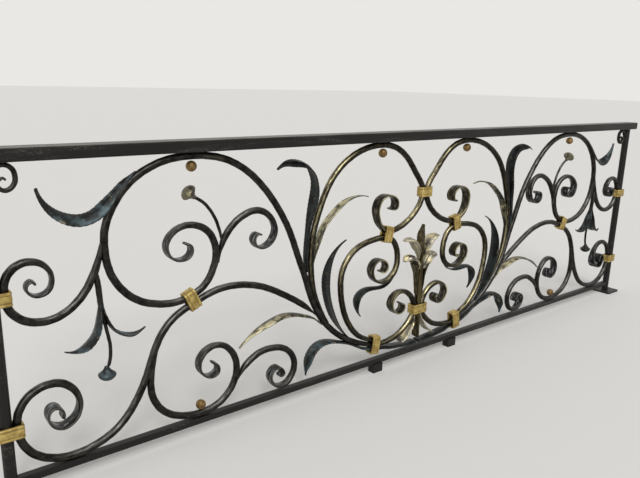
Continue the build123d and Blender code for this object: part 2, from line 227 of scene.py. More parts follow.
def giltTrim(name, finish):
    # forged trim brushed with gold paint: ochre-gold, with dark iron left in the pits and, on a
    # ridged band, a painted shadow in the grooves between the ridges and at its ends, which its
    # map counts along u
    material, tree, surface = newFinish(name, {"Metallic": 0.75})
    place = addNode(tree, "TexCoord").outputs["Object"]
    clouds = blotches(tree, place, 10, detail=4, roughness=0.6)
    pits = blotches(tree, place, 2.5, detail=4, roughness=0.7)
    layers = [
        (finish["gold"], (clouds, 0.35, 0.65)),
        (finish["iron"], (pits, finish["ironFrom"], finish["ironFrom"] + 0.1)),
    ]
    if "groove" in finish:
        along = addNode(tree, "UVMap", {"uv_map": "alongBar"})
        count = addNode(tree, "SeparateXYZ", links={0: along})
        angle = addNode(tree, "Math", {"operation": "MULTIPLY", 1: pi}, {0: count})
        wave = addNode(tree, "Math", {"operation": "SINE"}, {0: angle})
        swell = addNode(tree, "Math", {"operation": "ABSOLUTE"}, {0: wave})
        layers.append((finish["groove"], (swell, 0.4, 0)))
    dents = [(clouds, 0.4, 0.8), (pits, 0.4, 0.4)]
    finishSurface(tree, surface, finish["deep"], layers, (pits, 0.36, 0.6), dents)
    return material


def railPaint(name, finish):
    # black waxed paint on a rolled section: near-black and rather dull, which a low IOR gives,
    # thin and dusty along the worn streaks, and on the top of a handrail a painted sky reflection in
    # streaks
    material, tree, surface = newFinish(name, {"IOR": 1.33})
    place = addNode(tree, "TexCoord").outputs["Object"]
    streaks = blotches(tree, place, 14, detail=4, roughness=0.65, stretch=(0.12, 1, 1))
    specks = blotches(tree, place, 3, detail=4, roughness=0.7)
    layers = [(finish["worn"], (streaks, 0.5, 0.72), (specks, 0.42, 0.66))]
    # a painted sky reflection on the top, in streaks
    if "top" in finish:
        layers.append((finish["top"], paintedLightFacing(tree, (0, 0, 1)), (streaks, 0.38, 0.6)))
    finishSurface(tree, surface, finish["paint"], layers, (streaks, 0.28, 0.6), [(specks, 0.4, 0.5)])
    return material


finishes = {
    # outer scrolls and thin stems: brown-black wax with a painted grey sheen
    "barIron": hammeredIron(
        "waxedIronPaintedSheen",
        {"iron": "#383634", "wax": "#1b1a19", "gold": "#5f5847", "bare": "#7c7a74", "rubFrom": 0.54,
         "rubFade": 0.25, "patchFrom": 0.4, "scratchFrom": 0.66, "roughness": (0.3, 0.5),
         "paintedLightSide": (-0.43, -0.43, 0.8), "sheen": "#74736e", "edgeShare": 0.7, "steel": "#8b9194"},
    ),
    # scrolls of the middle: the same wax rubbed with gold, and a painted pale gold sheen
    "rubbedIron": hammeredIron(
        "goldRubbedIronPaintedSheen",
        {"iron": "#37332b", "wax": "#1d1b18", "gold": "#6c6148", "bare": "#a89e82", "rubFrom": 0.52,
         "rubFade": 0.3, "patchFrom": 0.35, "scratchFrom": 0.64, "roughness": (0.26, 0.42),
         "paintedLightSide": (-0.62, -0.5, 0.6), "sheen": "#c0b58e", "edgeShare": 0.7, "steel": "#6e6a5c"},
    ),
    # flower's stem: old gold under wax, olive-brown, with a painted sheen
    "oliveIron": hammeredIron(
        "oliveRubbedIronPaintedSheen",
        {"iron": "#463f2c", "wax": "#28241a", "gold": "#6b603f", "bare": "#8d815d", "rubFrom": 0.48,
         "rubFade": 0.3, "patchFrom": 0.3, "scratchFrom": 0.62, "roughness": (0.3, 0.46),
         "paintedLightSide": (-0.62, -0.5, 0.6), "sheen": "#83774f", "edgeShare": 0.7, "steel": "#7b7050"},
    ),
    # leaves at the side and foot: blue-grey over iron
    "patinaLeaf": mottledLeaf(
        "blueGreyPatina",
        {"iron": "#262827", "patina": "#4d5a5e", "gold": "#a0977a", "patinaFrom": 0.46, "goldFrom": 0.6},
    ),
    # leaves brushed with gold, with a painted pale gold sheen
    "goldLeaf": mottledLeaf(
        "goldBrushedLeafPaintedSheen",
        {"iron": "#2f2d28", "patina": "#6f6c58", "gold": "#c3b98f", "patinaFrom": 0.44, "goldFrom": 0.54,
         "paintedLightSide": (-0.5, -0.5, 0.7), "sheen": "#d6cda8"},
    ),
    # leaves left nearly black
    "darkLeaf": mottledLeaf(
        "blackenedLeaf",
        {"iron": "#1f2020", "patina": "#2c3231", "gold": "#66654f", "patinaFrom": 0.42, "goldFrom": 0.6},
    ),
    # the flower's petals: silver-gold, the brightest of the leaves
    "petal": mottledLeaf(
        "silverGoldPetal",
        {"iron": "#4b463d", "patina": "#aba593", "gold": "#d8cba0", "patinaFrom": 0.35, "goldFrom": 0.5},
    ),
    # its middle petal, as dark as the stem
    "olivePetal": mottledLeaf(
        "oliveGoldPetal",
        {"iron": "#3a3525", "patina": "#645c40", "gold": "#a3976b", "patinaFrom": 0.4, "goldFrom": 0.55},
    ),
    # buds inside the rings: dull bronze
    "bud": mottledLeaf(
        "bronzeBud",
        {"iron": "#3a362e", "patina": "#6f6a58", "gold": "#a89c78", "patinaFrom": 0.4, "goldFrom": 0.55},
    ),
    # collars: ochre-gold bands
    "collar": giltTrim(
        "brushedGoldBand",
        {"gold": "#c8b16c", "deep": "#9a8149", "iron": "#54462c", "ironFrom": 0.62, "groove": "#6b5a34"},
    ),
    # balls: gold gone rusty brown
    "ball": giltTrim(
        "rustyGoldBall",
        {"gold": "#94794a", "deep": "#66502f", "iron": "#33291c", "ironFrom": 0.58},
    ),
    # rails and posts: black paint, with a painted reflection on the handrail's top
    "rail": railPaint("blackRailPaint", {"paint": "#171514", "worn": "#55514a"}),
    "handrail": railPaint("wornHandrailPaintPaintedReflection", {"paint": "#171514", "worn": "#55514a", "top": "#77736a"}),
}
print("finishes made")


# Surfaces carried along a line
endStations = np.array([0, 0.4, 1.2, 2.5])  # close together where an end is rounded off


def smoothLine(path, spacing):
    # cubic through the drawn points with its second derivative continuous, its parameter the
    # straight distance between them; the ends turn as the parabola through three points does
    path = np.array(path, float)
    gaps = np.hypot(*np.diff(path, axis=0).T)
    knots = np.r_[0, np.cumsum(gaps)]
    slopes = np.diff(path, axis=0) / gaps[:, None]
    count = len(path)
    system = np.zeros((count, count))
    right = np.zeros((count, 2))
    inner = np.arange(1, count - 1)
    system[inner, inner - 1] = gaps[:-1]
    system[inner, inner] = 2 * (gaps[:-1] + gaps[1:])
    system[inner, inner + 1] = gaps[1:]
    right[1:-1] = 6 * np.diff(slopes, axis=0)
    startSlope = slopes[0] + (slopes[0] - slopes[1]) * gaps[0] / (gaps[0] + gaps[1])
    endSlope = slopes[-1] + (slopes[-1] - slopes[-2]) * gaps[-1] / (gaps[-1] + gaps[-2])
    system[0, :2] = 2 * gaps[0], gaps[0]
    system[-1, -2:] = gaps[-1], 2 * gaps[-1]
    right[0] = 6 * (slopes[0] - startSlope)
    right[-1] = 6 * (endSlope - slopes[-1])
    bend = np.linalg.solve(system, right)
    run = knots[-1]
    even = np.linspace(4, run - 4, max(3, round(run / spacing)))
    at = np.r_[endStations, even, run - endStations[::-1]]
    span = np.clip(np.searchsorted(knots, at, side="right") - 1, 0, count - 2)
    gap = gaps[span][:, None]
    low = (knots[span + 1] - at)[:, None] / gap
    high = 1 - low
    place = low * path[span] + high * path[span + 1]
    place += ((low**3 - low) * bend[span] + (high**3 - high) * bend[span + 1]) * gap**2 / 6
    heading = slopes[span] + (
        (1 - 3 * low**2) * bend[span] + (3 * high**2 - 1) * bend[span + 1]
    ) * gap / 6
    heading /= np.hypot(*heading.T)[:, None]
    return at, place, heading


def eyed(start, eyeWidth, flat=90, taper=300, lead=90):
    # sizes along a bar that starts as given, runs round and ends in a flattened eye
    eye = (eyeWidth, bar["eyeThickness"])
    full = (bar["size"], bar["size"])
    return [(0, *start), (lead, *full), (-taper, *full), (-flat, *eye), (-1, *eye)]


def blade(root, widest, tip, swell, taper):
    # sizes along a leaf: its root, its widest stretch and its tip
    return [(0, *root), (swell, *widest), (-taper, *widest), (-1, *tip)]


def blendKeys(keys, at):
    # each row of keys is a distance along the line, from the end if below zero, then the width,
    # the thickness and perhaps a roll; between rows they follow half a sine wave
    run = at[-1]
    rows = np.array([[row[0] if row[0] >= 0 else run + row[0] + 1, *row[1:]] for row in keys], float)
    span = np.clip(np.searchsorted(rows[:, 0], at, side="right") - 1, 0, len(rows) - 2)
    share = np.clip((at - rows[span, 0]) / (rows[span + 1, 0] - rows[span, 0]), 0, 1)
    share = np.sin(share * pi / 2)[:, None] ** 2
    return (rows[span, 1:] * (1 - share) + rows[span + 1, 1:] * share).T


def endRound(at, radius):
    # how full the section is near the ends, as a quarter circle of the given radius that stops
    # just short of a point
    near = np.clip(np.minimum(at, at[-1] - at) / radius, 0, 1)
    tip = 0.03
    return np.sqrt(1 - (1 - near) ** 2) * (1 - tip) + tip


def carried(place, heading, a, b, roll=0):
    # section points, a across the panel and b along the line's normal before the roll about the
    # line, set on the line's stations
    turned = np.radians(np.reshape(roll, (-1, 1)))
    across = a * np.cos(turned) - b * np.sin(turned)
    along = a * np.sin(turned) + b * np.cos(turned)
    x = bay["middle"] + place[:, :1] - heading[:, 1:] * along
    z = bay["drawingFoot"] + place[:, 1:] + heading[:, :1] * along
    return np.stack([x, across, z], -1) / 1000


# Hammer marks on a bar: how deep they are, and the millimetres along it in which each of the
# waves that make them up turns by one radian
hammer = {"depth": 0.8, "short": 6.1, "long": 15.7, "drift": 47}


def barSurface(path, keys, around=20, spacing=5):
    # a superellipse of the given width and thickness, round on the bar and squarer where it is
    # flat, carried along the line; long shallow dents lower it by up to the hammer's depth
    at, place, heading = smoothLine(path, spacing)
    width, thickness = blendKeys(keys, at)
    theta = np.arange(around) * 2 * pi / around
    flat = np.clip((width / thickness - 1) / 2.5, 0, 1)[:, None]
    power = 2 / (2 + 2.2 * flat)
    full = endRound(at, 5)[:, None]
    run = at[:, None]
    wave = np.sin(run / hammer["short"] + 3 * np.sin(2 * theta + run / hammer["drift"]))
    wave = wave * np.sin(run / hammer["long"] + 3 * theta)
    dent = hammer["depth"] * (0.5 + 0.5 * wave)
    across, through = np.cos(theta), np.sin(theta)
    a = np.sign(across) * np.abs(across) ** power * (width[:, None] / 2 - dent) * full
    b = np.sign(through) * np.abs(through) ** power * (thickness[:, None] / 2 - dent) * full
    grid = carried(place, heading, a, b)
    edge = np.clip((np.abs(across) - 0.8) / 0.15, 0, 1)  # the outer part of a flat's width
    return {
        "grid": grid,
        "u": at / 1000,
        "girth": pi * bar["size"] / 1000,
        "flatFace": flat * (1 - edge),
        "flatEdge": flat * edge,
    }


# Marks on a leaf: the ribs' length for a turn by one radian, their slant towards the tip, the
# share of its half width that the vein takes, how many flutes cross it where it has any, and the
# width below which all of them fade
leafMarks = {"ribPace": 2.2, "ribSlant": 1.3, "veinShare": 0.12, "flutes": 5, "broad": 40}


def leafSurface(path, keys, around=28, spacing=3, cup=0.16, ribs=0.5, vein=1.1, flutes=0):
    # a lens section whose edges curl by the cup's share of the half width, with a groove down
    # the middle and slanting ribs that fade out towards it, or flutes that run the leaf's length
    at, place, heading = smoothLine(path, spacing)
    width, thickness, *roll = blendKeys(keys, at)
    theta = np.arange(around) * 2 * pi / around
    v = np.cos(theta)[None, :]
    side = np.sin(theta)[None, :]
    full = endRound(at, 4)[:, None]
    half = width[:, None] / 2 * full
    broad = np.clip(width[:, None] / leafMarks["broad"], 0, 1)
    curl = cup * half * (v**2 - 0.35)
    groove = vein * broad * np.exp(-((v / leafMarks["veinShare"]) ** 2))
    slanted = at[:, None] - leafMarks["ribSlant"] * np.abs(v) * half
    slant = np.sin(slanted / leafMarks["ribPace"]) * np.abs(v) * broad
    body = thickness[:, None] / 2 * np.sign(side) * np.sqrt(np.abs(side)) * full
    fluted = np.cos(leafMarks["flutes"] * pi * v) * broad
    b = body + curl - groove + ribs * slant + flutes * fluted
    a = half * v * (1 - 0.03 * np.abs(slant))
    grid = carried(place, heading, a, b, roll[0] if roll else 0)
    return {"grid": grid, "u": at / 1000, "girth": 0.08}


def headSurface(centre, axisAngle, profile, around=24):
    # a profile of (distance from the axis, distance along it) turned about an axis in the panel
    profile = np.array(profile, float)
    theta = np.arange(around) * 2 * pi / around
    axis = np.array([cos(radians(axisAngle)), sin(radians(axisAngle))])
    out, height = profile[:, :1], profile[:, 1:]
    side = out * np.sin(theta)
    x = bay["middle"] + centre[0] + height * axis[0] - side * axis[1]
    z = bay["drawingFoot"] + centre[1] + height * axis[1] + side * axis[0]
    y = out * np.cos(theta)
    run = np.cumsum(np.r_[0, np.hypot(*np.diff(profile, axis=0).T)])
    return {"grid": np.stack([x, y, z], -1) / 1000, "u": run / 1000, "girth": 0.1}


def collarSurface(centre, angle, across, depth=22, length=37, wall=4, ridge=2, bead=0.22):
    # a band round the bars, its inside a rounded rectangle of the given sides, its outside a
    # broad ridge between two beads that take the given share each; u counts the ridges
    share = np.linspace(0, 1, 41)
    count = np.interp(share, [0, bead, 1 - bead, 1], [0, 1, 2, 3])
    swell = wall + ridge * np.abs(np.sin(pi * count)) ** 0.4
    inner = np.linspace(1, 0, 5)
    shift = np.r_[share, inner] * length - length / 2
    innerRadius = 1
    out = np.r_[swell, 0 * inner][:, None] + innerRadius
    steps = 6
    turn = np.radians(np.arange(0, 360, 90)[:, None] + np.linspace(0, 90, steps))
    cornerA = np.sign(np.cos(turn.mean(1))).repeat(steps) * (across / 2 - innerRadius)
    cornerB = np.sign(np.sin(turn.mean(1))).repeat(steps) * (depth / 2 + bay["weldGap"] - innerRadius)
    turn = turn.ravel()
    a = cornerA + out * np.cos(turn)
    b = cornerB + out * np.sin(turn)
    axis = np.array([cos(radians(angle)), sin(radians(angle))])
    x = bay["middle"] + centre[0] + shift[:, None] * axis[0] - a * axis[1]
    z = bay["drawingFoot"] + centre[1] + shift[:, None] * axis[1] + a * axis[0]
    grid = np.stack([x, b + 0 * x, z], -1) / 1000
    inside = np.full(len(inner) + 1, 3.5)  # half way between two grooves, so without a shadow
    return {"grid": grid, "u": np.r_[count, inside], "girth": 1, "looped": True}


def mirrored(surface):
    # reflected in the middle of the bay
    grid = surface["grid"].copy()
    grid[..., 0] = 2 * bay["middle"] / 1000 - grid[..., 0]
    return {**surface, "grid": grid}


def closedFaces(surface):
    # the grid is closed round its second parameter; its ends are closed by fans on their middles,
    # or meet each other on a looped one; gives the points, and blocks of faces with their map
    grid, u = surface["grid"], surface["u"]
    looped = surface.get("looped", False)
    rows, columns = grid.shape[:2]
    points = grid.reshape(-1, 3)
    index = np.arange(rows * columns).reshape(rows, columns)
    if looped:
        index = np.vstack([index, index[:1]])
    after = np.roll(index, -1, axis=1)
    quads = np.stack([index[:-1], after[:-1], after[1:], index[1:]], -1).reshape(-1, 4)
    turn = np.arange(columns + 1) / columns * surface["girth"]
    lowU, lowTurn = np.meshgrid(u[:-1], turn[:-1], indexing="ij")
    highU, highTurn = np.meshgrid(u[1:], turn[1:], indexing="ij")
    corners = ((lowU, lowTurn), (lowU, highTurn), (highU, highTurn), (highU, lowTurn))
    blocks = [(quads, np.stack([np.stack(c, -1) for c in corners], 2).reshape(-1, 4, 2))]
    if not looped:
        foot, head = rows * columns, rows * columns + 1
        points = np.concatenate([points, grid[[0, -1]].mean(axis=1)])
        startFan = np.stack([np.full(columns, foot), after[0], index[0]], -1)
        endFan = np.stack([np.full(columns, head), index[-1], after[-1]], -1)
        fanMap = np.zeros((columns, 3, 2))
        blocks += [(startFan, fanMap), (endFan, fanMap + u[-1])]
    triangles = np.concatenate([quads[:, :3], quads[:, [0, 2, 3]]] + [fan for fan, _ in blocks[1:]])
    a, b, c = (points[triangles[:, i]] for i in range(3))
    insideOut = np.einsum("ij,ij->i", np.cross(a, b), c).sum() < 0
    if insideOut:
        blocks = [(block[:, ::-1], blockMap[:, ::-1]) for block, blockMap in blocks]
    return points, blocks


def closedMesh(name, surfaces, finishNumbers):
    places, faces, maps, numbers = [], [], [], []
    marks = {"flatFace": [], "flatEdge": []}
    first = 0
    for surface, number in zip(surfaces, finishNumbers):
        points, blocks = closedFaces(surface)
        for block, blockMap in blocks:
            faces += (first + block).tolist()
            maps.append(blockMap.reshape(-1, 2))
            numbers += [number] * len(block)
        places.append(points)
        first += len(points)
        for mark, values in marks.items():
            given = np.zeros(len(points))
            if mark in surface:
                given[: surface[mark].size] = surface[mark].ravel()
            values.append(given)
    mesh = bpy.data.meshes.new(name)
    mesh.from_pydata(np.concatenate(places).tolist(), [], faces)
    layer = mesh.uv_layers.new(name="alongBar")
    layer.data.foreach_set("uv", np.concatenate(maps).ravel())
    for mark, values in marks.items():
        mesh.attributes.new(mark, "FLOAT", "POINT").data.foreach_set("value", np.concatenate(values))
    mesh.polygons.foreach_set("use_smooth", np.ones(len(mesh.polygons), bool))
    mesh.polygons.foreach_set("material_index", numbers)
    return mesh


def addPiece(name, surfaces, settings, node):
    # a surface with a finish of its own keeps it, and the rest have the piece's
    chosen = [surface.get("finish", settings["finish"]) for surface in surfaces]
    used = list(dict.fromkeys(chosen))
    mesh = closedMesh(name, surfaces, [used.index(finish) for finish in chosen])
    for finish in used:
        mesh.materials.append(finishes[finish])
    piece = bpy.data.objects.new(name, mesh)
    bpy.context.scene.collection.objects.link(piece)
    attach(piece, "root")
    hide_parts(node)


def snake(name):
    # upperLeaves to upper_leaves, as the solids are named
    return "".join("_" + c.lower() if c.isupper() else c for c in name)


def addPair(name, surfaces, settings):
    # leaves and trim: both sides share one node
    both = list(surfaces) + [mirrored(s) for s in surfaces]
    addPiece(name, both, settings, snake(name))


def addBar(name, settings):
    # a bar is a node of its own on each side of the bay
    surface = barSurface(settings["path"], settings["sections"])
    title = name[0].upper() + name[1:]
    for side, shape in (("left", surface), ("right", mirrored(surface))):
        addPiece(side + title, [shape], settings, f"{side}_{snake(name)}")


def addLeaves(name, settings):
    shape = leafSurface(settings["path"], settings["sections"], **settings.get("form", {}))
    addPair(name, [shape], settings)


# Forged bars
pressed = (bar["size"], bar["pressed"])
scarf = (bar["scarfWidth"], bar["scarf"])

# Big ring: rises from the foot of the bay, runs round and ends in a flat eye
ring = {
    "path": [
        (-212, 47), (-259, 60), (-320, 84), (-376, 114), (-431, 157), (-476, 206), (-509, 260),
        (-531, 310), (-553, 373), (-576, 430), (-598, 488), (-626, 552), (-660, 610),
        (-709, 675), (-764, 728), (-838, 771), (-949, 789), (-1030, 780), (-1085, 759),
        (-1130, 729), (-1165, 690), (-1191, 645), (-1204, 600), (-1205, 552), (-1196, 500),
        (-1170, 449), (-1121, 403), (-1060, 380), (-1004, 376), (-957, 388), (-918, 412),
        (-893, 450), (-881, 490), (-884, 530), (-902, 566), (-935, 589), (-975, 595),
        (-1012, 582), (-1036, 551), (-1032, 521), (-1007, 500), (-978, 501), (-962, 517),
        (-964, 536), (-982, 543),
    ],
    "sections": eyed(pressed, eyes["common"], lead=160),
    "finish": "barIron",
    "slot": "forged_iron",
}
addBar("ring", ring)

# Lower scroll: a double scroll from the corner eye, under the ring and along to its foot
lowerScroll = {
    "path": [
        (-498, 222), (-542, 262), (-598, 302), (-653, 335), (-709, 364), (-764, 382),
        (-838, 391), (-899, 383), (-957, 361), (-1000, 342), (-1053, 296), (-1086, 232),
        (-1110, 168), (-1149, 96), (-1199, 42), (-1245, 18), (-1295, 6), (-1340, 6),
        (-1386, 20), (-1424, 50), (-1445, 88), (-1452, 127), (-1446, 168), (-1422, 204),
        (-1380, 224), (-1340, 220), (-1306, 190), (-1296, 146), (-1314, 111), (-1343, 99),
        (-1368, 110), (-1379, 134), (-1376, 152), (-1363, 161), (-1349, 155), (-1341, 140),
        (-1345, 124),
    ],
    "sections": eyed(scarf, eyes["broad"], flat=130),
    "finish": "barIron",
    "slot": "forged_iron",
}
addBar("lowerScroll", lowerScroll)

# Side scroll between the post and the ring
sideScroll = {
    "path": [
        (-1192, 636), (-1208, 590), (-1221, 541), (-1241, 490), (-1271, 444), (-1314, 409),
        (-1368, 396), (-1418, 412), (-1444, 443), (-1452, 477), (-1450, 508), (-1432, 540),
        (-1395, 555), (-1356, 540), (-1341, 506), (-1350, 477), (-1376, 466), (-1400, 480),
        (-1402, 498), (-1390, 506), (-1381, 494),
    ],
    "sections": eyed(scarf, eyes["slim"], flat=70, taper=260, lead=160),
    "finish": "barIron",
    "slot": "forged_iron",
}
addBar("sideScroll", sideScroll)

# Branch scroll inside the ring
branchScroll = {
    "path": [
        (-873, 470), (-862, 520), (-841, 559), (-812, 588), (-780, 606), (-744, 614),
        (-707, 602), (-682, 575), (-675, 543), (-687, 515), (-712, 498), (-737, 499),
        (-752, 514), (-752, 532), (-740, 542), (-727, 536),
    ],
    "sections": eyed(scarf, eyes["common"], taper=260),
    "finish": "barIron",
    "slot": "forged_iron",
}
addBar("branchScroll", branchScroll)

# Floor scroll that hangs from the lower scroll
floorScroll = {
    "path": [
        (-1067, 262), (-1082, 215), (-1093, 171), (-1095, 120), (-1080, 76), (-1050, 40),
        (-1000, 14), (-940, 5), (-885, 15), (-842, 46), (-818, 90), (-815, 138), (-834, 182),
        (-868, 209), (-905, 211), (-936, 190), (-946, 158), (-932, 130), (-903, 118),
        (-883, 131), (-886, 151), (-902, 160),
    ],
    "sections": eyed(scarf, eyes["common"], lead=140),
    "finish": "barIron",
    "slot": "forged_iron",
}
addBar("floorScroll", floorScroll)

# Small scroll on the bottom rail
smallScroll = {
    "path": [
        (-812, 78), (-800, 96), (-788, 112), (-765, 130), (-730, 148), (-688, 152),
        (-640, 142), (-604, 112), (-590, 75), (-600, 36), (-630, 10), (-662, 13), (-685, 35),
        (-689, 62), (-671, 80), (-648, 74), (-641, 55), (-656, 47),
    ],
    "sections": eyed(scarf, eyes["common"], flat=80, taper=260, lead=60),
    "finish": "barIron",
    "slot": "forged_iron",
}
addBar("smallScroll", smallScroll)

# Upper circle with its snail eye
upperCircle = {
    "path": [
        (-447, 187), (-485, 249), (-512, 304), (-525, 360), (-529, 416), (-528, 471),
        (-519, 524), (-500, 585), (-475, 643), (-440, 697), (-392, 740), (-338, 769),
        (-280, 785), (-222, 789), (-150, 772), (-92, 728), (-48, 674), (-18, 634),
        (-10.5, 608), (-16, 578), (-48, 532), (-92, 500), (-136, 482), (-187, 480),
        (-220, 500), (-241, 536), (-244, 574), (-227, 601), (-196, 611), (-166, 602),
        (-152, 582), (-158, 562), (-178, 560),
    ],
    "sections": eyed(scarf, eyes["wide"], flat=150, taper=330, lead=180),
    "finish": "rubbedIron",
    "slot": "forged_iron",
}
addBar("upperCircle", upperCircle)

# Lower circle with its snail eye
lowerCircle = {
    "path": [
        (-212, 66), (-253, 78), (-303, 104), (-342, 144), (-373, 199), (-390, 256),
        (-397, 316), (-390, 365), (-367, 404), (-330, 434), (-282, 450), (-234, 457),
        (-187, 456), (-152, 438), (-131, 402), (-125, 360), (-136, 322), (-162, 298),
        (-198, 290), (-232, 300), (-254, 324), (-257, 350), (-242, 372), (-216, 378),
        (-194, 367), (-186, 346), (-197, 331), (-214, 334),
    ],
    "sections": eyed(pressed, eyes["common"], flat=150, taper=330, lead=160),
    "finish": "rubbedIron",
    "slot": "forged_iron",
}
addBar("lowerCircle", lowerCircle)

# Centre scroll beside the stem
centreScroll = {
    "path": [
        (-212, 47), (-175, 47), (-131, 52), (-92, 66), (-54, 94), (-29, 124), (-20.5, 152),
        (-26, 180), (-48, 212), (-80, 231), (-113, 234), (-140, 218), (-150, 192),
        (-139, 167), (-112, 153), (-91, 161), (-87, 181), (-104, 189),
    ],
    "sections": eyed(pressed, eyes["common"], flat=110, taper=260),
    "finish": "rubbedIron",
    "slot": "forged_iron",
}
addBar("centreScroll", centreScroll)

# Corner scrolls under the handrail
cornerScroll = {
    "path": [
        (-1455.5, 766), (-1449, 784), (-1430, 792.5), (-1411, 785), (-1403, 763), (-1411, 740),
        (-1429, 732), (-1441, 742), (-1440, 755), (-1430, 762), (-1424, 755),
    ],
    "sections": [(0, 16, 13), (-70, 16, 13), (-1, 16, 7)],
    "finish": "barIron",
    "slot": "forged_iron",
}
addPair("cornerScrolls", [barSurface(cornerScroll["path"], cornerScroll["sections"])], cornerScroll)
print("bars forged")


# Upper leaf: springs off the ring towards the post
upperLeaf = {
    "path": [
        (-1112, 757), (-1153, 723), (-1190, 684), (-1223, 655), (-1257, 644), (-1292, 650),
        (-1322, 667), (-1346, 694), (-1361, 733),
    ],
    "sections": [
        (0, 5, 3, -34), (60, 24, 5, -34), (140, 42, 7, -34), (-130, 42, 7, -38), (-1, 10, 4, -60),
    ],
    "form": {"ribs": 0.7},
    "finish": "patinaLeaf",
    "slot": "patinated_iron",
}
addLeaves("upperLeaves", upperLeaf)

# Tall leaf between the ring and the upper circle
tallLeaf = {
    "path": [
        (-545, 385), (-550, 438), (-547, 499), (-538, 560), (-520, 630), (-520, 690),
        (-550, 735), (-600, 749), (-640, 746), (-666, 731),
    ],
    "sections": [
        (0, 14, 5, 0), (50, 20, 13, 0), (120, 21, 11, 0), (250, 46, 6, 6), (-170, 44, 6, -4),
        (-70, 36, 6, -36), (-1, 9, 3, -30),
    ],
    "finish": "darkLeaf",
    "slot": "forged_iron",
}
addLeaves("tallLeaves", tallLeaf)

# Gold leaf inside the upper circle
goldLeaf = {
    "path": [
        (-521, 412), (-501, 478), (-481, 526), (-443, 567), (-392, 604), (-342, 619),
        (-283, 614),
    ],
    "sections": blade((14, 4), (32, 6), (10, 3), 100, 140),
    "finish": "goldLeaf",
    "slot": "gilded_iron",
}
addLeaves("goldLeaves", goldLeaf)

# Dark leaf beside the lower circle
darkLeaf = {
    "path": [
        (-350, 106), (-395, 156), (-426, 205), (-448, 260), (-460, 320), (-455, 380),
        (-428, 435), (-376, 473),
    ],
    "sections": blade((16, 5), (46, 6), (8, 3), 160, 180),
    "finish": "darkLeaf",
    "slot": "forged_iron",
}
addLeaves("darkLeaves", darkLeaf)

# Sweeping leaf under the lower scroll
sweepingLeaf = {
    "path": [
        (-476, 186), (-518, 220), (-559, 238), (-631, 254), (-687, 243), (-737, 225),
        (-776, 203), (-804, 181),
    ],
    "sections": blade((14, 4), (40, 6), (10, 3), 120, 140),
    "finish": "goldLeaf",
    "slot": "gilded_iron",
}
addLeaves("sweepingLeaves", sweepingLeaf)

# Base leaf: runs under the ring and hangs over the bottom rail
baseLeaf = {
    "path": [
        (-213, 31), (-255, 40), (-300, 58), (-348, 84), (-409, 108), (-462, 120), (-508, 106),
        (-534, 66), (-541, 14),
    ],
    "sections": [(0, 18, 12), (130, 20, 8), (-130, 46, 7), (-60, 46, 8), (-1, 8, 3)],
    "form": {"ribs": 0.8},
    "finish": "patinaLeaf",
    "slot": "patinated_iron",
}
addLeaves("baseLeaves", baseLeaf)

# Leaf that hangs inside the lower circle
circleLeaf = {
    "path": [
        (-144, 303), (-168, 281), (-203, 272), (-253, 276), (-292, 272), (-318, 250),
        (-320, 215), (-296, 176),
    ],
    "sections": blade((14, 4), (38, 7), (8, 3), 130, 80),
    "finish": "darkLeaf",
    "slot": "forged_iron",
}
addLeaves("circleLeaves", circleLeaf)
print("leaves done")


# Hanging sprig: a stem, two leaves and a drop that ends in a bud
sprig = {
    "stem": [(-1230, 500), (-1227, 450), (-1222, 388)],
    "left": [(-1228, 430), (-1231, 375), (-1246, 327), (-1279, 299), (-1325, 303)],
    "right": [(-1221, 430), (-1210, 365), (-1182, 325), (-1148, 309), (-1104, 324)],
    "drop": [(-1222, 392), (-1213, 340), (-1206, 299), (-1206, 265), (-1213, 233.6)],
    "finish": "patinaLeaf",
    "slot": "patinated_iron",
}
twig = (bar["twig"], bar["twig"])
addPair(
    "sprigs",
    [
        {**barSurface(sprig["stem"], [(0, 14, 10), (30, 19, 17), (-1, 18, 15)]), "finish": "barIron"},
        leafSurface(sprig["left"], blade((14, 5), (50, 6), (8, 3), 80, 70)),
        leafSurface(sprig["right"], blade((14, 5), (36, 6), (8, 3), 70, 60)),
        {**barSurface(sprig["drop"], [(0, 10, 4), (40, *twig), (-1, *twig)], 14), "finish": "barIron"},
    ],
    sprig,
)

# Buds: a round-topped head over a flared cup
bud = {
    "width": 49,
    "height": 42,
    "neck": 0.26,  # the cup's narrowest and widest radius, as shares of the bud's
    "lip": 0.95,
    "flare": 1.7,  # the power of its height that the cup widens by
    "cup": 0.5,  # the heights of the cup and the crown, as shares of the bud's
    "crown": 0.45,
}


def budProfile():
    # a cup whose radius grows as a power of its height, under half an ellipse
    radius, height = bud["width"] / 2, bud["height"]
    rise = np.linspace(0, 1, 10)
    widths = bud["neck"] + (bud["lip"] - bud["neck"]) * rise ** bud["flare"]
    cup = np.stack([radius * widths, height * bud["cup"] * (rise - 1)], 1)
    turn = np.linspace(0.08, 0.985, 14) * pi / 2
    crown = np.stack([radius * np.cos(turn), height * bud["crown"] * np.sin(turn)], 1)
    return np.concatenate([cup, crown])


addPair(
    "sprigBuds",
    [headSurface((-1218, 213), -90, budProfile())],
    {"finish": "patinaLeaf", "slot": "patinated_iron"},
)

# Bud inside the ring, on a stem that springs off the branch scroll
ringBud = {
    "stem": [(-862, 540), (-875, 590), (-896, 630), (-922, 658), (-945, 672)],
    "centre": (-961, 685),
    "towards": 140,
    "finish": "bud",
    "slot": "patinated_iron",
}
addPair(
    "ringBuds",
    [
        {**barSurface(ringBud["stem"], [(0, 12, 6), (40, *twig), (-1, *twig)]), "finish": "barIron"},
        headSurface(ringBud["centre"], ringBud["towards"], budProfile()),
    ],
    ringBud,
)

# Riveted balls under the tops of the big bars and on the floor scrolls
ball = {
    "diameter": 31,
    "hangsFrom": [(-953, 787), (-225, 787.5)],
    "standsOn": [(-940, 5.5)],
    "finish": "ball",
    "slot": "gilded_iron",
}


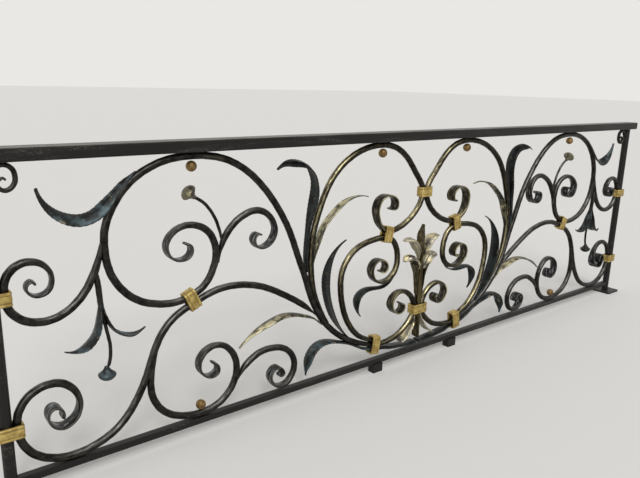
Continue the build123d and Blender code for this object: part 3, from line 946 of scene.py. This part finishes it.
def ballSurface(x, z):
    # half a circle from pole to pole, turned about the upright
    turn = np.linspace(0.02, 0.98, 16) * pi
    profile = np.stack([np.sin(turn), -np.cos(turn)], 1) * ball["diameter"] / 2
    return headSurface((x, z), 90, profile)


ballReach = (bar["size"] + ball["diameter"]) / 2 + bay["weldGap"]
addPair(
    "balls",
    [ballSurface(x, z - ballReach) for x, z in ball["hangsFrom"]]
    + [ballSurface(x, z + ballReach) for x, z in ball["standsOn"]],
    ball,
)
print("buds and balls done")


# Collars: each has its centre, the angle of its axis, and the width of the bars inside it
collars = {
    "ringCollars": {"centre": (-963, 374), "angle": 25, "across": 48},
    "circleCollars": {"centre": (-187, 468), "angle": -12, "across": 48},
    "bundleCollars": {"centre": (-226, 52), "angle": -9, "across": 58},
}
postCollar = {"x": -1468.5, "levels": (126, 475), "across": 51, "depth": 32, "length": 36}
middleCollars = {
    "middleUpperCollar": {"centre": (0, 608), "angle": 90, "across": 44},
    "middleLowerCollar": {"centre": (0, 150), "angle": 90, "across": 62, "depth": 28},
}
gilt = {"finish": "collar", "slot": "gilded_iron"}
for name, settings in collars.items():
    addPair(name, [collarSurface(**settings)], gilt)
addPair(
    "postCollars",
    [
        collarSurface(
            (postCollar["x"], level), 90, postCollar["across"], postCollar["depth"], postCollar["length"]
        )
        for level in postCollar["levels"]
    ],
    gilt,
)
for name, settings in middleCollars.items():
    addPiece(name, [collarSurface(**settings)], gilt, snake(name))
print("collars done")


# Stem of the flower: fans out below its collar and ends above in the middle petal
middleStem = {
    "path": [(0, 28), (0, 120), (0, 230), (0, 330), (0, 400)],
    "sections": [
        (0, 40, 5), (60, 34, 9), (100, 30, 24), (270, 30, 24), (-40, 26, 12), (-1, 20, 6),
    ],
    "petal": [(0, 345), (1, 390), (0, 430), (3, 460), (9, 482)],
    "petalSections": blade((18, 6), (40, 8), (16, 4), 60, 50),
    "finish": "oliveIron",
    "slot": "forged_iron",
}
stemSurfaces = [
    barSurface(middleStem["path"], middleStem["sections"]),
    {**leafSurface(middleStem["petal"], middleStem["petalSections"], cup=0.3), "finish": "olivePetal"},
]
addPiece("middleStem", stemSurfaces, middleStem, "middle_stem")

# Outer petals: olive sheaths that peel off the stem and turn outwards into fluted shells
flowerLeaf = {
    "sheath": [(-12, 205), (-13, 250), (-18, 292), (-36, 332)],
    "sheathSections": [(0, 22, 4), (60, 32, 6), (-1, 38, 8)],
    "shell": [(-13, 306), (-27, 340), (-46, 358), (-68, 361), (-88, 348)],
    "shellSections": blade((24, 5), (60, 11), (22, 6), 36, 36),
    "form": {"around": 72, "ribs": 0, "vein": 0, "cup": 0.3, "flutes": 1.5},
    "finish": "petal",
    "slot": "gilded_iron",
}
addPair(
    "flowerLeaves",
    [
        {**barSurface(flowerLeaf["sheath"], flowerLeaf["sheathSections"]), "finish": "oliveIron"},
        leafSurface(flowerLeaf["shell"], flowerLeaf["shellSections"], **flowerLeaf["form"]),
    ],
    flowerLeaf,
)

# Upper petals beside the middle one
flowerPetal = {
    "path": [(-9, 345), (-18, 385), (-36, 415), (-62, 432), (-94, 428)],
    "sections": blade((12, 4), (54, 9), (22, 5), 60, 40),
    "form": {"ribs": 0.9, "cup": 0.24},
    "finish": "petal",
    "slot": "gilded_iron",
}
addLeaves("flowerPetals", flowerPetal)

# Tail leaves under the lower collar
tailLeaf = {
    "path": [(-17, 126), (-24, 98), (-42, 68), (-68, 44), (-92, 32)],
    "sections": [(0, 12, 6), (50, 34, 9), (-1, 40, 5)],
    "form": {"ribs": 0.9},
    "finish": "petal",
    "slot": "gilded_iron",
}
addLeaves("tailLeaves", tailLeaf)

# Base strand: a thick leaf that lies along the bottom rail
baseStrand = {
    "path": [(-211, 31), (-165, 26), (-110, 19), (-60, 14), (-4, 12)],
    "sections": [(0, 18, 12), (70, 38, 13), (-1, 38, 13)],
    "finish": "darkLeaf",
    "slot": "forged_iron",
}
addPair("baseStrands", [barSurface(baseStrand["path"], baseStrand["sections"])], baseStrand)
print("flower done")


# Plain solids that keep their shape
plainSolids = {
    "handrail": "handrail", "bottom_rail": "rail", "feet": "rail", "left_post": "rail",
    "right_post": "rail",
}
for node, finish in plainSolids.items():
    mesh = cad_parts[node].data
    mesh.materials.clear()
    mesh.materials.append(finishes[finish])
print("plain solids finished")


# Studio
studio = {"floor": "#e2e0dc", "backdrop": "#e9e8e5", "floorSize": 60, "daylight": 0.5}


def makeStudio():
    size = studio["floorSize"]
    mesh = bpy.data.meshes.new("floor")
    corners = [(-size, -size, 0), (size, -size, 0), (size, size, 0), (-size, size, 0)]
    mesh.from_pydata(corners, [], [(0, 1, 2, 3)])
    floor = bpy.data.objects.new("floor", mesh)
    bpy.context.scene.collection.objects.link(floor)
    look = {"Roughness": 0.8, "Base Color": linear(studio["floor"])}
    mesh.materials.append(newFinish("paleFloor", look)[0])
    world = bpy.data.worlds.new("studio")
    world.use_nodes = True
    bpy.context.scene.world = world
    tree = world.node_tree
    tree.nodes.clear()
    rays = addNode(tree, "LightPath").outputs
    seen = rays["Is Camera Ray"]
    for ray in ("Is Glossy Ray", "Is Transmission Ray"):
        seen = addNode(tree, "Math", {"operation": "MAXIMUM"}, {0: seen, 1: rays[ray]})
    plain = addNode(tree, "Background", {"Color": linear(studio["backdrop"]), "Strength": 1.0})
    light = addNode(tree, "Background", {"Color": (1, 1, 1, 1), "Strength": studio["daylight"]})
    mixed = addNode(tree, "MixShader", links={0: seen, 1: light, 2: plain})
    addNode(tree, "OutputWorld", links={"Surface": mixed})
    bpy.context.scene.view_settings.view_transform = "Standard"


def addDaylight(name, towards, width, strength):
    # a soft source of the given width in degrees, as even on the floor as on the panel
    data = bpy.data.lights.new(name, "SUN")
    data.angle = radians(width)
    data.energy = strength
    lamp = bpy.data.objects.new(name, data)
    bpy.context.scene.collection.objects.link(lamp)
    lamp.rotation_euler = Vector(towards).to_track_quat("-Z", "Y").to_euler()


panels = {
    "skyPanel": {"towards": (0.25, 0.5, -1.0), "width": 50, "strength": 0.9},
    "frontPanel": {"towards": (0.5, 0.85, -0.25), "width": 40, "strength": 0.3},
    "keyPanel": {"towards": (0.35, 0.75, -0.7), "width": 14, "strength": 0.7},
}
makeStudio()
for name, settings in panels.items():
    addDaylight(name, **settings)
print("studio lit")
